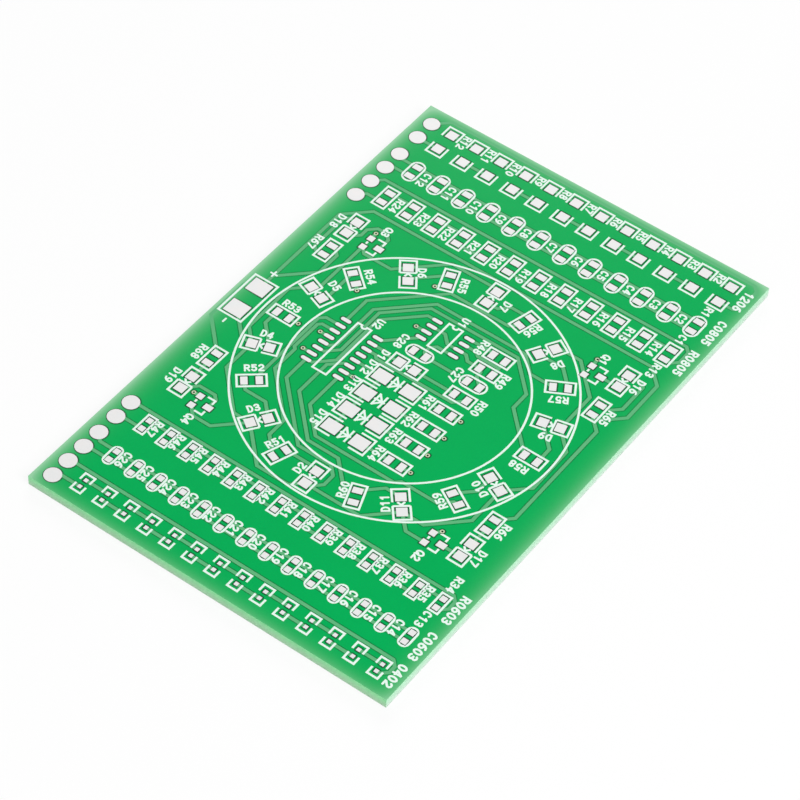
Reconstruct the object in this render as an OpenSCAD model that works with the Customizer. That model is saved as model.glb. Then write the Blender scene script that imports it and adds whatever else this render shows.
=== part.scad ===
/* [Board] */
// Width of the board, along the rows of chip lands
board_w = 57.3; // [54:0.1:70]
// Length of the board, across the rows
board_l = 88.2; // [87:0.1:110]
// Finished thickness, from mask to mask
board_t = 1.6; // [0.8:0.1:2.4]

/* [Layers] */
// Thickness of the solder mask on each face
mask_t = 0.03; // [0.02:0.005:0.06]
// How far the tinned lands stand above the mask
land_rise = 0.02; // [0.005:0.005:0.06]
// Gap round each land in its mask opening
mask_gap = 0.1; // [0.02:0.01:0.14]
// Thickness of the printed ink
ink_t = 0.02; // [0.01:0.005:0.04]
// Width of the printed lines
ink_w = 0.3; // [0.15:0.01:0.35]
// Width of the copper tracks
track_w = 0.5; // [0.2:0.05:0.6]

/* [Vias] */
// Diameter of the ring round each via
via_ring_d = 0.62; // [0.5:0.02:1]
// Diameter of the plated hole
via_hole_d = 0.3; // [0.2:0.05:0.5]
// Wall of the plated barrel
via_wall = 0.04; // [0.02:0.01:0.06]

/* [Test lands] */
// Diameter of the round test lands
test_d = 2.45; // [2:0.05:2.8]
// From the left edge to the middle of the test lands
test_in = 2.35; // [2:0.05:2.8]
// Spacing of the two test lands of each upper row
test_pitch_upper = 3.43; // [3.1:0.05:3.7]
// Spacing of the two test lands of each lower row
test_pitch_lower = 3.07; // [2.9:0.05:3.3]

/* [Rows] */
// Columns in each of the three upper rows
upper_columns = 12; // [4:2:12]
// Columns in each of the three lower rows
lower_columns = 14; // [4:2:14]
// From the left edge to the first column of the upper rows
upper_left = 6; // [5.6:0.05:7]
// From the last column of the upper rows to the right edge
upper_right = 4.15; // [3.9:0.05:6]
// From the left edge to the first column of the lower rows
lower_left = 6.3; // [5.6:0.05:7]
// From the last column of the lower rows to the right edge
lower_right = 3.6; // [3.4:0.05:6]
// From the top edge to the middle of the first row
row_1206_in = 4.83; // [4.6:0.05:5.2]
// From the top edge to the middle of the second row
row_c0805_in = 12.4; // [11.5:0.05:12.6]
// From the top edge to the middle of the third row
row_r0805_in = 18.97; // [18.2:0.05:19.2]
// From the bottom edge to the middle of the fourth row
row_r0603_in = 16.1; // [15:0.05:16.5]
// From the bottom edge to the middle of the fifth row
row_c0603_in = 9.4; // [8:0.05:10]
// From the bottom edge to the middle of the last row
row_0402_in = 3.4; // [3:0.05:3.8]
// From the right edge to the return track of the 1206 row
return_in_1206 = 0.95; // [0.8:0.05:2.4]
// From the right edge to the return tracks of the other series rows
return_in = 2.2; // [1.5:0.05:2.4]
// Height of the bus track over the 1206 lands
bus_1206 = 1.45; // [1.35:0.05:1.6]
// Height of the bus track over the 0805 resistor lands
bus_r0805 = 1.25; // [1.1:0.05:1.6]
// Height of the bus track over the 0603 resistor lands
bus_r0603 = 0.85; // [0.8:0.05:1.3]
// Height of the bus track over the 0402 lands
bus_0402 = 1.15; // [0.9:0.05:1.3]
// Slanted corner of the return tracks
bus_corner = 0.8; // [0.4:0.05:1]

/* [Chip lands] */
// 1206 land across the part
w_1206 = 1.55; // [1.2:0.05:1.8]
// 1206 land along the part
l_1206 = 1.5; // [1.2:0.05:1.6]
// 1206 spacing of the two lands
pitch_1206 = 3.41; // [3.2:0.02:3.7]
// 1206 printed outline across the part
print_w_1206 = 2.5; // [2.2:0.05:2.7]
// 1206 printed outline along the part
print_l_1206 = 6; // [5.6:0.05:6.2]
// 1206 gap between the two halves of the outline
print_gap_1206 = 1.8; // [1:0.1:2.4]
// 0805 land across the part
w_0805 = 1.4; // [1:0.05:1.5]
// 0805 land along the part
l_0805 = 0.98; // [0.8:0.02:1.1]
// 0805 spacing of the two lands
pitch_0805 = 2.04; // [1.9:0.02:2.2]
// 0805 printed outline across the part
print_w_0805 = 2.06; // [1.95:0.02:2.2]
// 0805 printed outline along the part
print_l_0805 = 4; // [3.8:0.05:4.2]
// 0603 land across the part
w_0603 = 0.86; // [0.7:0.02:0.9]
// 0603 land along the part
l_0603 = 0.88; // [0.7:0.02:1]
// 0603 spacing of the two lands
pitch_0603 = 1.65; // [1.5:0.02:1.8]
// 0603 printed outline across the part
print_w_0603 = 1.46; // [1.4:0.02:1.6]
// 0603 printed outline along the part
print_l_0603 = 3.2; // [3.1:0.05:3.4]
// 0402 land across the part
w_0402 = 0.56; // [0.4:0.02:0.7]
// 0402 land along the part
l_0402 = 0.56; // [0.4:0.02:0.7]
// 0402 spacing of the two lands
pitch_0402 = 1.27; // [1:0.02:1.4]
// 0402 printed outline across the part
print_w_0402 = 1.6; // [1.4:0.02:1.8]
// 0402 printed outline along the part
print_l_0402 = 3.06; // [2.8:0.02:3.2]
// 0402 gap between the two halves of the outline
print_gap_0402 = 0.7; // [0.5:0.05:1]

/* [LED and diode lands] */
// LED land across the part
w_led = 1.5; // [1.2:0.05:1.6]
// LED land along the part
l_led = 1.42; // [1.1:0.02:1.5]
// LED spacing of the two lands
pitch_led = 2.5; // [2.4:0.02:2.8]
// LED printed outline across the part
print_w_led = 2.3; // [2.2:0.05:2.5]
// LED printed outline along the part
print_l_led = 5.1; // [4.8:0.05:5.3]
// LED gap between the two halves of the outline
print_gap_led = 0.8; // [0.6:0.05:1]
// From the middle of the LED to the bar of its sign
bar_led = 0.27; // [0.2:0.01:0.3]
// Diode land across the part
w_diode = 2.05; // [1.8:0.05:2.2]
// Diode land along the part
l_diode = 2.45; // [2:0.05:2.6]
// Diode spacing of the two lands
pitch_diode = 4.55; // [4.5:0.05:4.8]
// Diode printed outline across the part
print_w_diode = 3.05; // [2.8:0.05:3.2]
// Diode printed outline along the part
print_l_diode = 7.7; // [7.5:0.05:7.9]
// Diode gap between the two halves of the outline
print_gap_diode = 3.05; // [2:0.05:4]
// From the middle of the diode to the bar of its sign
bar_diode = 0.55; // [0.4:0.01:0.6]
// Width of the diode sign
sign_w_diode = 2.05; // [1.6:0.05:2.3]

/* [Transistor lands] */
// Width of the single land, away from the pair
w_sot_single = 1.28; // [1:0.02:1.4]
// Width of each land of the pair
w_sot_pair = 0.95; // [0.8:0.02:1.1]
// Length of each land
l_sot = 0.97; // [0.8:0.02:1.1]
// Spacing of the pair
pitch_sot = 1.94; // [1.8:0.02:2.1]
// From the pair to the single land
span_sot = 2.02; // [1.9:0.02:2.2]
// Height of the printed corners
print_l_sot = 2.95; // [2.8:0.05:3.1]
// Length of the printed corners
print_w_sot = 1.25; // [1:0.05:1.3]

/* [Integrated circuit lands] */
// Spacing of neighbouring lands
pitch_so = 1.27; // [1.2:0.01:1.4]
// Length of each land
l_so = 1.6; // [1.3:0.05:1.8]
// Width of each land
w_so = 0.58; // [0.4:0.02:0.7]
// From one column of lands to the other
span_so = 5.32; // [5:0.02:5.6]
// Width of the printed outline
print_w_so = 2.24; // [2:0.02:2.5]
// How far the outline reaches past the last lands
print_over_so = 0.62; // [0.4:0.02:0.8]
// Radius of the notch at the outline's top
notch_so = 0.42; // [0.3:0.02:0.6]

/* [Power lands] */
// Width of each power land
w_power = 2.95; // [2.5:0.05:3.2]
// Height of each power land
l_power = 2.55; // [2.2:0.05:2.8]
// Spacing of the two power lands
pitch_power = 4.86; // [4.6:0.02:5.1]
// From the left edge to the middle of the power lands
power_in = 2.8; // [2.6:0.05:3]
// Width of the printed outline
print_w_power = 3.85; // [3.7:0.05:4]
// Height of the printed outline
print_l_power = 8.2; // [8:0.05:8.6]

/* [Ring of lights] */
// Radius of the outer printed circle
ring_outer_r = 23.31; // [23:0.05:23.6]
// Radius of the inner printed circle
ring_inner_r = 16.86; // [16.4:0.05:17.2]
// How far outside the middle of the ring its parts sit
ring_part_out = 0.2; // [0:0.02:0.3]
// From the side edges to the corner lights
corner_in = 5.8; // [5.7:0.05:6.3]

/* [Hidden] */
$fn = 48;

// Colours of the bare materials
laminate_colour = "#9ad3a5";
mask_colour = "#17a858";
track_colour = "#62b07a";
land_colour = "#e6e2e8";
ink_colour = "#f7faf6";

// Levels through the board, from the face that it lies on
core_base = mask_t;
core_top = board_t - mask_t;
core_t = core_top - core_base;
land_t = mask_t + land_rise;
barrel_d = via_hole_d + 2 * via_wall;
// Cuts run past the faces by this much
past = 0.5;

// Each two-land footprint: land across the part, land along it, spacing of the two
chip_1206 = [w_1206, l_1206, pitch_1206];
chip_0805 = [w_0805, l_0805, pitch_0805];
chip_0603 = [w_0603, l_0603, pitch_0603];
chip_0402 = [w_0402, l_0402, pitch_0402];
led = [w_led, l_led, pitch_led];
diode = [w_diode, l_diode, pitch_diode];

// A place is [x, y, turn]; at no turn the second land of a part lies above the first
left_edge = -board_w / 2;
right_edge = board_w / 2;
function row(n, left, right, y) =
    [for (k = [0 : n - 1]) [left_edge + left + k * (board_w - left - right) / (n - 1), y, 0]];
row_1206 = row(upper_columns, upper_left, upper_right, board_l / 2 - row_1206_in);
row_c0805 = row(upper_columns, upper_left, upper_right, board_l / 2 - row_c0805_in);
row_r0805 = row(upper_columns, upper_left, upper_right, board_l / 2 - row_r0805_in);
row_r0603 = row(lower_columns, lower_left, lower_right, row_r0603_in - board_l / 2);
row_c0603 = row(lower_columns, lower_left, lower_right, row_c0603_in - board_l / 2);
row_0402 = row(lower_columns, lower_left, lower_right, row_0402_in - board_l / 2);

// Two round test lands stand at the left of each row, a little off the row's own middle
test_x = left_edge + test_in;
function tests(row_places, pitch, off) =
    [for (s = [1, -1]) [test_x, row_places[0][1] + off + s * pitch / 2]];
test_1206 = tests(row_1206, test_pitch_upper, 0.08);
test_c0805 = tests(row_c0805, test_pitch_upper, -0.07);
test_r0805 = tests(row_r0805, test_pitch_upper, -0.4);
test_r0603 = tests(row_r0603, test_pitch_lower, 0.25);
test_c0603 = tests(row_c0603, test_pitch_lower, 0.4);
test_0402 = tests(row_0402, test_pitch_lower, 0.23);
test_places = concat(test_1206, test_c0805, test_r0805, test_r0603, test_c0603, test_0402);

// The ring: each part by the angle of its place, the angle that it points to and how far out
ring_centre = [0.1, -1.4];
ring_part_r = (ring_outer_r + ring_inner_r) / 2 + ring_part_out;
led_angles = [[269.5, 270, 0], [236, 235, 0], [198, 200, 0], [162.5, 160, 0], [125, 125, 0],
              [90.5, 90, 0], [56, 60, 0], [18.5, 14, 0], [341.5, 335, 0], [305, 310, 0.1]];
resistor_angles = [[253.5, 250, 0.15], [216, 220, 0], [180, 180, 0.05], [146, 140, 0.1],
                   [109, 110, 0], [73, 75, 0], [37.5, 30, 0.4], [0, 0, 0.05], [325, 330, 0],
                   [288, 290, 0]];
function on_ring(a, r) = ring_centre + r * [cos(a), sin(a)];
function ring_places(angles) =
    [for (a = angles) concat(on_ring(a[0], ring_part_r + a[2]), a[1] - 90)];
ring_leds = ring_places(led_angles);
ring_resistors = ring_places(resistor_angles);

// The corners: a light, its resistor and its transistor each, upper pair first
corner_x = right_edge - corner_in;
corner_leds = [[-corner_x, 17.5, 180], [corner_x - 0.4, 17.4, 180],
               [-corner_x, -18.9, 180], [corner_x - 0.2, -19.05, 180]];
corner_resistors = [[-corner_x, 12, 0], [corner_x - 0.4, 10.95, 0],
                    [-corner_x, -13.45, 0], [corner_x - 0.1, -13.75, 0]];
transistors = [[-18.5, 16.5, 0], [18.65, 16.08, 0], [-18.85, -20.67, 0], [18.75, -20.32, 0]];

// The timer, the counter and their small parts in the middle
timer_place = [-0.65, 8.78, 0];
timer_pins = 4;
counter_place = [-10.37, -1.32, 0];
counter_pins = 8;
chip_x = 7.1;
chip_ys = [10.35, 7.3, 1.5];
timer_resistors = [for (y = chip_ys) [chip_x, y, -90]];
timer_capacitors = [[chip_x, 4.4, -90], [-1.7, 4.4, -90]];
signal_led = [[-1.7, chip_ys[2], 90]];
diode_ys = [-1.95, -5.67, -9.33, -13.1];
diodes = [for (y = diode_ys) [-0.92, y, -90]];
diode_resistors = [for (y = diode_ys) [chip_x, y, -90]];
power_place = [left_edge + power_in, -1.88, 0];

// Middles of single lands: of a two-land part, a transistor and an integrated circuit
function land_at(p, chip, side) =
    [p[0], p[1]] + side * chip[2] / 2 * [-sin(p[2]), cos(p[2])];
function upper(p, chip) = land_at(p, chip, 1);
function lower(p, chip) = land_at(p, chip, -1);
function pair_land(p, side) = [p[0] - span_sot / 2, p[1] + side * pitch_sot / 2];
function single_land(p) = [p[0] + span_sot / 2, p[1]];
function pin_y(p, pins, k) = p[1] + (pins - 1) / 2 * pitch_so - k * pitch_so;
function left_pin(p, pins, k) = [p[0] - span_so / 2, pin_y(p, pins, k)];
function right_pin(p, pins, k) = [p[0] + span_so / 2, pin_y(p, pins, k)];
function power_land(side) = [power_place[0], power_place[1] + side * pitch_power / 2];

// Land centres that the tracks start from, numbered as their parts are above
led_in = [for (p = ring_leds) lower(p, led)];
led_out = [for (p = ring_leds) upper(p, led)];
resistor_in = [for (p = ring_resistors) lower(p, chip_0805)];
resistor_out = [for (p = ring_resistors) upper(p, chip_0805)];
count_l = [for (k = [0 : counter_pins - 1]) left_pin(counter_place, counter_pins, k)];
count_r = [for (k = [0 : counter_pins - 1]) right_pin(counter_place, counter_pins, k)];
time_l = [for (k = [0 : timer_pins - 1]) left_pin(timer_place, timer_pins, k)];
time_r = [for (k = [0 : timer_pins - 1]) right_pin(timer_place, timer_pins, k)];

// Vias stand beside the land that each one serves
via_out = 1.48;
ring_via_steps = [[1.55, 0], [0.85, -0.95], [-1.2, -1.15]];
counter_vias = [count_l[3] + [-via_out, 0], count_l[6] + [-via_out, 0], count_r[6] + [via_out, 0]];
timer_via = time_l[2] + [-1.7, 0];
ring_vias = [for (k = [0 : 2]) resistor_in[k + 2] + ring_via_steps[k]];
transistor_via_steps = [[-0.05, 1.2], [-0.1, 1.4], [-1.1, 0], [0.8, 0.9]];
transistor_vias = [for (k = [0 : 3]) pair_land(transistors[k], 1) + transistor_via_steps[k]];
diode_vias = [for (p = diode_resistors) upper(p, chip_0805) + [via_out, 0]];
via_places = concat(counter_vias, [timer_via], ring_vias, transistor_vias, diode_vias);

// A track from a to b with one 45 degree bend: straight first, or slanted first
function sign_of(v) = v < 0 ? -1 : 1;
function bend_point(a, b) =
    let (d = b - a)
    abs(d[0]) > abs(d[1])
        ? [b[0] - sign_of(d[0]) * abs(d[1]), a[1]]
        : [a[0], b[1] - sign_of(d[1]) * abs(d[0])];
function straight_first(a, b) = [a, bend_point(a, b), b];
function slant_first(a, b) = [a, bend_point(b, a), b];

// The outline of a track or printed line: its two sides at half its width, mitred at each bend
function unit(v) = v / norm(v);
function left_of(v) = [-v[1], v[0]];
function apart(p, w) =
    [for (k = [0 : len(p) - 1]) if (k == 0 || norm(p[k] - p[max(k - 1, 0)]) > w / 20) p[k]];
function side_step(p, k, w) =
    let (last = len(p) - 1,
         before = left_of(unit(k > 0 ? p[k] - p[k - 1] : p[1] - p[0])),
         after = left_of(unit(k < last ? p[k + 1] - p[k] : p[last] - p[last - 1])),
         middle = unit(before + after))
    middle * w / 2 / (middle * before);
function line_outline(p, w) =
    concat([for (k = [0 : len(p) - 1]) p[k] + side_step(p, k, w)],
           [for (k = [len(p) - 1 : -1 : 0]) p[k] - side_step(p, k, w)]);
module lines(paths, w) {
    for (p = paths) polygon(line_outline(apart(p, w), w));
}

// Rows of resistors are wired end to end: links by turns above and below, and a bus back
function series_links(places, chip) =
    [for (k = [0 : len(places) - 2])
        let (side = k % 2 == 0 ? 1 : -1)
        [land_at(places[k], chip, side), land_at(places[k + 1], chip, side)]];
function series_bus(places, chip, test, over, return_x) =
    let (last = lower(places[len(places) - 1], chip),
         bus_y = upper(places[0], chip)[1] + chip[1] / 2 + over)
    [test, [test[0] + abs(bus_y - test[1]), bus_y],
     [return_x - bus_corner, bus_y], [return_x, bus_y - bus_corner],
     [return_x, last[1] + bus_corner], [return_x - bus_corner, last[1]], last];
function series_row(places, chip, test, over, inset) =
    concat(series_links(places, chip),
           [series_bus(places, chip, test[0], over, right_edge - inset),
            slant_first(test[1], lower(places[0], chip))]);
// Rows of capacitors hang between two rails
function parallel_row(places, chip, test) =
    let (end = places[len(places) - 1])
    [concat(slant_first(test[0], upper(places[0], chip)), [upper(end, chip)]),
     concat(slant_first(test[1], lower(places[0], chip)), [lower(end, chip)])];
series_paths = concat(series_row(row_1206, chip_1206, test_1206, bus_1206, return_in_1206),
                      series_row(row_r0805, chip_0805, test_r0805, bus_r0805, return_in),
                      series_row(row_r0603, chip_0603, test_r0603, bus_r0603, return_in),
                      series_row(row_0402, chip_0402, test_0402, bus_0402, return_in));
parallel_paths = concat(parallel_row(row_c0805, chip_0805, test_c0805),
                        parallel_row(row_c0603, chip_0603, test_c0603));

// The supply goes from the upper power land round the board to the corner resistors
plus = power_land(1);
corner_up = [for (p = corner_resistors) upper(p, chip_0805)];
corner_low = [for (p = corner_resistors) lower(p, chip_0805)];
supply_x = plus[0] + 0.1;
supply_y = ring_centre[1] + ring_outer_r;
supply_join = [supply_x, plus[1] + 2.9];
supply_right = right_edge - 2.2;
right_rail = right_edge - 4.05;
left_rail = left_edge + 0.75;
resistor_rail = 1.6 - corner_x;
supply_paths = [
    concat([plus, [supply_x, plus[1] + 1], [supply_x, supply_y - 3.4], [supply_x + 3.4, supply_y],
            [supply_right - 2.45, supply_y]],
           straight_first([supply_right, supply_y - 2.45], corner_low[1] + [1.6, 0]),
           [corner_low[1]]),
    concat(slant_first(corner_low[1], [right_rail, 0]),
           straight_first([right_rail, -1], corner_up[3])),
    concat(straight_first(corner_up[0], [resistor_rail, corner_up[0][1] - 1.1]),
           straight_first([resistor_rail, supply_join[1] + 5], supply_join)),
    concat(slant_first(corner_up[2], [left_rail, -5]),
           [[left_rail, plus[1] - 0.8], [left_rail + 0.8, plus[1]], plus])
];

// The lights' common line joins the lower power land, every ring light's outer land, the
// transistors' lower lands and the ground lands of the timer and the counter
minus = power_land(-1);
emitters = [for (p = transistors) pair_land(p, -1)];
ground_x = counter_place[0] + 0.67;
ground_y = led_in[0][1] + 2;
common_paths = [
    slant_first(minus, led_out[2]),
    [led_out[3], led_out[3] + [-2.2, -2.2], led_out[2] + [-2.2, 2.2], led_out[2]],
    slant_first(led_out[3], emitters[0]),
    concat([emitters[0]], straight_first(emitters[0] + [1, -1], led_out[4])),
    slant_first(led_out[4], led_out[5] + [0, 0.43]),
    concat([led_out[6]], straight_first(led_out[6] + [0.4, 0.4], emitters[1])),
    slant_first(emitters[1], led_out[7]),
    [led_out[7], led_out[7] + [2.9, -2.9], led_out[8] + [3.07, 3.07], led_out[8]],
    [led_out[8], [led_out[8][0], led_out[9][1] + 4.45], [led_out[8][0] - 4.45, led_out[9][1]],
     led_out[9]],
    slant_first(led_out[9], emitters[3]),
    slant_first(led_out[9], led_out[0]),
    concat([led_out[0]], straight_first(led_out[0] + [-1.55, -1.55], led_out[1])),
    concat([emitters[2]], straight_first(emitters[2] + [1.3, -1.3], led_out[1])),
    [led_out[1], [led_out[2][0] + 5.7, led_out[1][1]], [led_out[2][0], led_out[1][1] + 5.7],
     led_out[2]],
    [count_l[7], [count_l[7][0], ground_y + 8.4], [count_l[7][0] + 8.4, ground_y],
     [led_in[0][0] + 0.8, ground_y], [led_in[0][0] + 2.1, ground_y - 1.3],
     [led_in[0][0] + 2.1, led_out[0][1] + 1.3], [led_in[0][0] + 0.8, led_out[0][1]]],
    concat([time_l[0]], slant_first(time_l[0] - [1.6, 0], [ground_x, 0]),
           straight_first([ground_x, -1], count_l[7] + [1, 0]), [count_l[7]])
];

// The counter's outputs run out to the ring's resistors, by track or by via
out_x = [counter_place[0] - 0.98, counter_place[0] + 0.02, counter_place[0] + 0.12];
out_y = [resistor_in[5][1] - 1.05, timer_place[1] + 4.42, timer_place[1] + 3.27];
side_x = [count_l[0][0] - 3.17, count_l[0][0] - 2.57, count_l[0][0] - 2.22];
low_y = [led_in[0][1] + 3.5, led_in[0][1] + 4.7];
counter_paths = concat([
    concat([count_l[0], [count_l[0][0], out_y[0] - 8.2]],
           straight_first([count_l[0][0] + 8.2, out_y[0]], resistor_in[5])),
    concat([count_l[4], [out_x[0] - 0.75, count_l[4][1]], [out_x[0], count_l[4][1] + 0.75],
            [out_x[0], out_y[1] - 6.2], [out_x[0] + 6.2, out_y[1]]],
           straight_first([chip_x, out_y[1]], resistor_in[6] - [3.7, 0]), [resistor_in[6]]),
    concat([count_l[5], [out_x[1] - 1.65, count_l[5][1]], [out_x[1], count_l[5][1] + 1.65],
            [out_x[1], out_y[2] - 5.05], [out_x[1] + 5.05, out_y[2]],
            [chip_x + 1.86, out_y[2]]],
           straight_first([chip_x + 6.51, out_y[2] - 4.65], resistor_in[7])),
    concat([count_r[5], [out_x[2] + 1.65, count_r[5][1]], [out_x[2], count_r[5][1] - 1.65],
            [out_x[2], low_y[0] + 6.05], [out_x[2] + 6.05, low_y[0]]],
           straight_first([0, low_y[0]], resistor_out[9] - [1.25, 0]), [resistor_out[9]]),
    concat([count_r[7], [count_r[7][0], low_y[1] + 3.85], [count_r[7][0] + 3.85, low_y[1]],
            [chip_x + 1.76, low_y[1]], [chip_x + 2.46, low_y[1] + 0.7]],
           straight_first([chip_x + 3, low_y[1] + 0.7], resistor_out[8] - [0.75, 0]),
           [resistor_out[8]]),
    concat([count_l[1], [side_x[0] + 0.75, count_l[1][1]]],
           straight_first([side_x[0], count_l[1][1] - 0.75], resistor_in[1])),
    concat([count_l[2], [side_x[1] + 0.45, count_l[2][1]], [side_x[1], count_l[2][1] - 0.45],
            [side_x[1], count_l[6][1] - 0.45], [side_x[2], count_l[6][1] - 0.8]],
           straight_first([side_x[2], ring_centre[1] - 8.25], [count_r[7][0] - 1, low_y[1] - 0.45]),
           straight_first([count_r[7][0] - 1, low_y[1] - 1], resistor_out[0])),
    [time_l[2], timer_via],
    [count_l[3], counter_vias[0]],
    [count_l[6], counter_vias[1]],
    [count_r[6], counter_vias[2]]
], [for (k = [0 : 2]) [resistor_in[k + 2], ring_vias[k]]]);

// The timer and its parts
chip_l = [for (p = timer_resistors) lower(p, chip_0805)];
chip_r = [for (p = timer_resistors) upper(p, chip_0805)];
cap_l = [for (p = timer_capacitors) lower(p, chip_0805)];
cap_r = [for (p = timer_capacitors) upper(p, chip_0805)];
signal_l = upper(signal_led[0], led);
signal_r = lower(signal_led[0], led);
timer_x = timer_place[0];
timer_paths = [
    [time_l[1], [timer_x - 0.45, time_l[1][1]], [timer_x - 0.45 + pitch_so, time_r[2][1]], time_r[2]],
    concat([time_r[2]], slant_first(time_r[2] + [1.25, 0], chip_l[1])),
    concat([time_r[1]], slant_first(time_r[1] + [2.1, 0], [chip_r[0][0], time_r[1][1] - 0.55])),
    [chip_r[0], chip_r[1]],
    straight_first(time_r[0], chip_l[0]),
    concat([time_r[3], [timer_x + 0.05, time_r[3][1]]],
           straight_first([timer_x - 0.7, time_r[3][1] - 0.75], cap_r[1])),
    [cap_r[1], cap_l[0]],
    concat([chip_l[1]], straight_first(chip_l[1] + [0.53, -0.53], cap_r[0])),
    slant_first(time_l[3], count_r[0]),
    concat([count_r[1]], slant_first(count_r[1] + [2.2, 0], signal_l)),
    concat([count_r[2], count_r[2] + [1.5, 0]], straight_first(count_r[2] + [2, -0.5], chip_r[2])),
    [signal_r, chip_l[2]]
];

// Each ring light is joined to its resistor
light_paths = [
    slant_first(led_in[0], resistor_in[0]),
    concat([resistor_out[1]], straight_first(resistor_out[1] + [1.15, -1.15], led_in[1])),
    slant_first(led_in[2], resistor_out[2]),
    slant_first(led_in[3], resistor_out[3]),
    straight_first(led_in[4], resistor_out[4]),
    concat([led_in[5]], slant_first(led_in[5] + [1.8, 0], resistor_out[5])),
    straight_first(led_in[6], resistor_out[6]),
    slant_first(led_in[7], resistor_out[7]),
    straight_first(led_in[8], resistor_in[8]),
    straight_first(led_in[9], resistor_in[9])
];

// Each corner light is joined to its resistor and to its transistor
corner_top = [for (p = corner_leds) lower(p, led)];
corner_base = [for (p = corner_leds) upper(p, led)];
collectors = [for (p = transistors) single_land(p)];
bases = [for (p = transistors) pair_land(p, 1)];
corner_paths = concat([
    [corner_top[0], corner_top[0] + [-1.35, 0], corner_top[0] + [-1.95, -0.6],
     corner_low[0] + [-1.95, 0.6], corner_low[0] + [-1.35, 0], corner_low[0]],
    concat([corner_top[1], corner_top[1] + [2.05, 0]],
           straight_first(corner_top[1] + [2.65, -0.6], corner_up[1] + [1.4, 0]), [corner_up[1]]),
    [corner_low[2], corner_top[2]],
    [corner_low[3], corner_top[3]],
    [corner_base[0], corner_base[0] + [0.95, 0], [collectors[0][0] - 3.5, corner_base[0][1] + 0.9],
     collectors[0] + [-3.5, 2], collectors[0] + [-2.4, 3.1], collectors[0] + [-0.9, 3.1],
     collectors[0] + [0, 2.2], collectors[0]],
    straight_first(collectors[1], corner_base[1]),
    [corner_base[2], corner_base[2] + [1.8, 1.8],
     [collectors[2][0] - 0.66, corner_base[2][1] + 1.8],
     [collectors[2][0], corner_base[2][1] + 1.14], collectors[2]],
    straight_first(collectors[3], corner_base[3])
], [for (k = [0 : 3]) [bases[k], transistor_vias[k]]]);

// The diodes hang from one counter output, each with its resistor and its via
diode_l = [for (p = diodes) lower(p, diode)];
diode_r = [for (p = diodes) upper(p, diode)];
diode_paths = concat(
    [straight_first(count_r[4], diode_l[0]), [diode_l[0], diode_l[3]]],
    [for (k = [0 : 3]) [diode_r[k], lower(diode_resistors[k], chip_0805)]],
    [for (k = [0 : 3]) [upper(diode_resistors[k], chip_0805), diode_vias[k]]]
);

// Flat shapes of the lands, grown for the openings in the mask
module at_place(p) {
    translate([p[0], p[1]]) rotate(p[2]) children();
}
module chip_lands(places, chip, grow = 0) {
    size = [chip[0] + 2 * grow, chip[1] + 2 * grow];
    for (p = places) at_place(p)
        for (side = [-1, 1])
            translate([0, side * chip[2] / 2]) square(size, center = true);
}
module round_lands(places, d) {
    for (p = places) translate(p) circle(d = d);
}
module transistor_shapes(grow = 0) {
    for (p = transistors) {
        translate(single_land(p)) square([w_sot_single + 2 * grow, l_sot + 2 * grow], center = true);
        for (side = [-1, 1])
            translate(pair_land(p, side)) square([w_sot_pair + 2 * grow, l_sot + 2 * grow], center = true);
    }
}
module oblong(l, w) {
    square([l - w, w], center = true);
    for (side = [-1, 1]) translate([side * (l - w) / 2, 0]) circle(d = w);
}
module circuit_lands(places, grow = 0) {
    for (p = places) translate(p) oblong(l_so + 2 * grow, w_so + 2 * grow);
}
module power_shapes(grow = 0) {
    for (side = [-1, 1])
        translate(power_land(side)) square([w_power + 2 * grow, l_power + 2 * grow], center = true);
}
module all_lands(grow = 0) {
    round_lands(test_places, test_d + 2 * grow);
    round_lands(via_places, via_ring_d + 2 * grow);
    chip_lands(row_1206, chip_1206, grow);
    chip_lands(concat(row_c0805, row_r0805), chip_0805, grow);
    chip_lands(concat(row_r0603, row_c0603), chip_0603, grow);
    chip_lands(row_0402, chip_0402, grow);
    chip_lands(concat(ring_leds, corner_leds, signal_led), led, grow);
    chip_lands(concat(ring_resistors, corner_resistors), chip_0805, grow);
    chip_lands(concat(timer_resistors, timer_capacitors, diode_resistors), chip_0805, grow);
    chip_lands(diodes, diode, grow);
    transistor_shapes(grow);
    circuit_lands(concat(time_l, time_r, count_l, count_r), grow);
    power_shapes(grow);
}

// Flat shapes of the print: an outline box, a pill, a pair of brackets and the two signs
module box_outline(w, l) {
    difference() {
        square([w + ink_w, l + ink_w], center = true);
        square([w - ink_w, l - ink_w], center = true);
    }
}
module pill_outline(w, l) {
    rotate(90) difference() {
        oblong(l + ink_w, w + ink_w);
        oblong(l - ink_w, w - ink_w);
    }
}
module bracket(w, far, near) {
    lines([[[-w / 2, near], [-w / 2, far], [w / 2, far], [w / 2, near]]], ink_w);
}
module bracket_pair(w, l, gap) {
    for (side = [-1, 1]) bracket(w, side * l / 2, side * gap / 2);
}
module bar(w, y) {
    lines([[[-w / 2, y], [w / 2, y]]], ink_w);
}
module arrow(w, base, tip) {
    lines([[[-w / 2, base], [0, tip], [w / 2, base]]], ink_w);
}
module led_outline() {
    bracket(print_w_led, print_l_led / 2, bar_led);
    bracket(print_w_led, -print_l_led / 2, -print_gap_led / 2);
    bar(print_w_led, bar_led);
    arrow(w_led * 2 / 3, -print_gap_led / 2, bar_led - ink_w / 2);
}
module diode_outline() {
    bracket_pair(print_w_diode, print_l_diode, print_gap_diode);
    bar(sign_w_diode + ink_w, bar_diode);
    bar(sign_w_diode + ink_w, -bar_diode);
    arrow(sign_w_diode, -bar_diode, bar_diode - ink_w / 2);
    lines([[[0, -bar_diode - ink_w], [0, bar_diode + ink_w]]], ink_w);
}
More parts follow.
